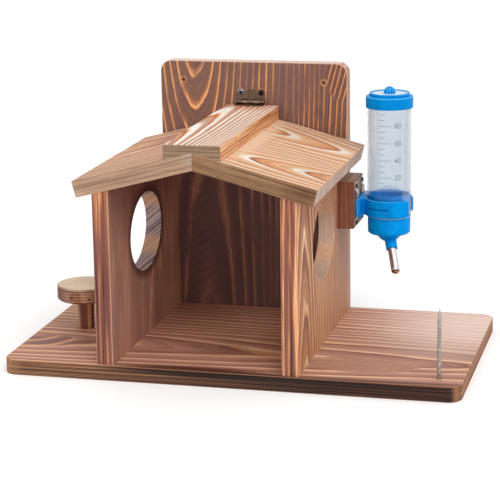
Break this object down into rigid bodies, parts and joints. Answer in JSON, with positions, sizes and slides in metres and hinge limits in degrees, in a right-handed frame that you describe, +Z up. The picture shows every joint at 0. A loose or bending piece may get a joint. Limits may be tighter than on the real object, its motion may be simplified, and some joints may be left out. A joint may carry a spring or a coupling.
{
  "type": "squirrel feeder box",
  "caption": "Wooden feeder house on a wide base with a hinged gable roof, oval side entrances, perch, cob spike and a clipped drinking bottle with a ball spout.",
  "frame": {"origin": "centre of the base board's underside, on the surface the feeder stands on", "axes": "+X to the right along the base's long side, towards the bottle; +Y to the back board; +Z up"},
  "size_m": [0.4, 0.225, 0.2471],
  "materials": {
    "base_fir": "brushed, carbonised and oiled",
    "back_fir": "brushed, carbonised and oiled",
    "side_fir": "brushed, carbonised and oiled",
    "roof_fir": "brushed, carbonised and oiled",
    "cap_fir": "brushed, carbonised and oiled",
    "block_fir": "brushed, carbonised and oiled",
    "perch_wood": "brushed, carbonised and oiled",
    "post_wood": "brushed, carbonised and oiled",
    "dowel_wood": "plain",
    "spike_steel": "satin",
    "hinge_bronze": "antique bronze plating",
    "screw_steel": "zinc plated",
    "dark_screw": "black oxide",
    "strap_steel": "brushed",
    "blue_plastic": "glossy moulded",
    "clear_plastic": "clear",
    "pale_plastic": "translucent",
    "seal_rubber": "matt",
    "spout_steel": "polished stainless"
  },
  "bodies": {
    "root": {"base_board": "base_fir", "back_board": "back_fir", "left_side_panel": "side_fir", "right_side_panel": "side_fir", "bottle_block": "block_fir", "perch_post": "post_wood", "perch_seat": "perch_wood", "perch_dowel": "dowel_wood", "cob_spike": "spike_steel", "wall_hinge_leaf": "hinge_bronze", "hinge_pin": "hinge_bronze", "wall_leaf_screws": "screw_steel", "floor_screws": "screw_steel", "back_screws": "screw_steel", "block_screws": "screw_steel", "perch_screw": "screw_steel", "bottle_bracket": "strap_steel", "bracket_screws": "dark_screw", "bottle_clip": "blue_plastic"},
    "lid": {"roof_left_board": "roof_fir", "roof_right_board": "roof_fir", "ridge_cap": "cap_fir", "roof_hinge_leaf": "hinge_bronze", "roof_leaf_screws": "screw_steel", "cap_screws": "screw_steel"},
    "bottle": {"bottle_tube": "clear_plastic"},
    "bottle_top": {"top_cap_ring": "blue_plastic", "top_cap_disc": "pale_plastic", "top_cap_knob": "blue_plastic"},
    "bottle_base": {"lower_cap": "blue_plastic", "seal_washer": "seal_rubber", "spout_tube": "spout_steel"},
    "ball": {"spout_ball": "spout_steel"}
  },
  "joints": [
    {"name": "roof_hinge", "type": "hinge", "parent": "root", "child": "lid", "pos_m": [-0.0268, 0.0953, 0.21012], "axis": [-1, 0, 0], "range_deg": [0, 90]},
    {"name": "bottle_slide", "type": "slide", "parent": "root", "child": "bottle", "axis": [0, 0, 1], "range_m": [-0.04, 0.028]},
    {"name": "top_cap_lift", "type": "slide", "parent": "bottle", "child": "bottle_top", "axis": [0, 0, 1], "range_m": [0, 0.016]},
    {"name": "lower_cap_pull", "type": "slide", "parent": "bottle", "child": "bottle_base", "axis": [0, 0, -1], "range_m": [0, 0.024]},
    {"name": "ball_lift", "type": "slide", "parent": "bottle_base", "child": "ball", "axis": [-0.2563, 0.6039, 0.7547], "range_m": [0, 0.02]}
  ]
}
